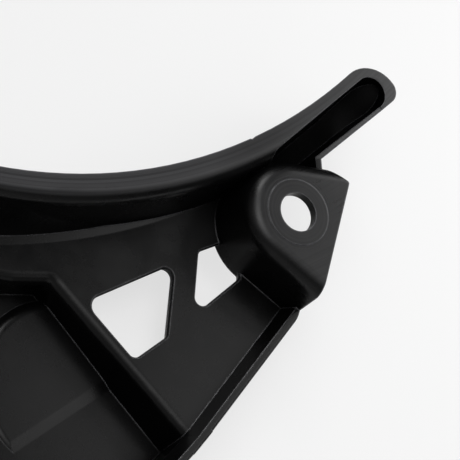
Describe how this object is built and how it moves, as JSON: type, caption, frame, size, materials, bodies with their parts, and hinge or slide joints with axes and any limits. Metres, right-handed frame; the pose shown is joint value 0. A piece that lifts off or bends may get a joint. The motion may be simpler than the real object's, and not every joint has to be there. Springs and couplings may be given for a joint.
{
  "type": "motorcycle sprocket cover",
  "caption": "Black plastic cover for a motorcycle's front sprocket: curved rim, finger, raised screw ears, windows and a bulged middle.",
  "frame": {"origin": "axis of the right fixing hole, in the plane of the seats", "axes": "+X along the cover, away from its far end; +Y towards the curved rim; +Z out of the seats, towards the engine"},
  "size_m": [0.1355, 0.0979, 0.0198],
  "materials": {
    "sprocket_cover": "satin"
  },
  "bodies": {
    "root": {"sprocket_cover": "sprocket_cover"}
  },
  "joints": []
}
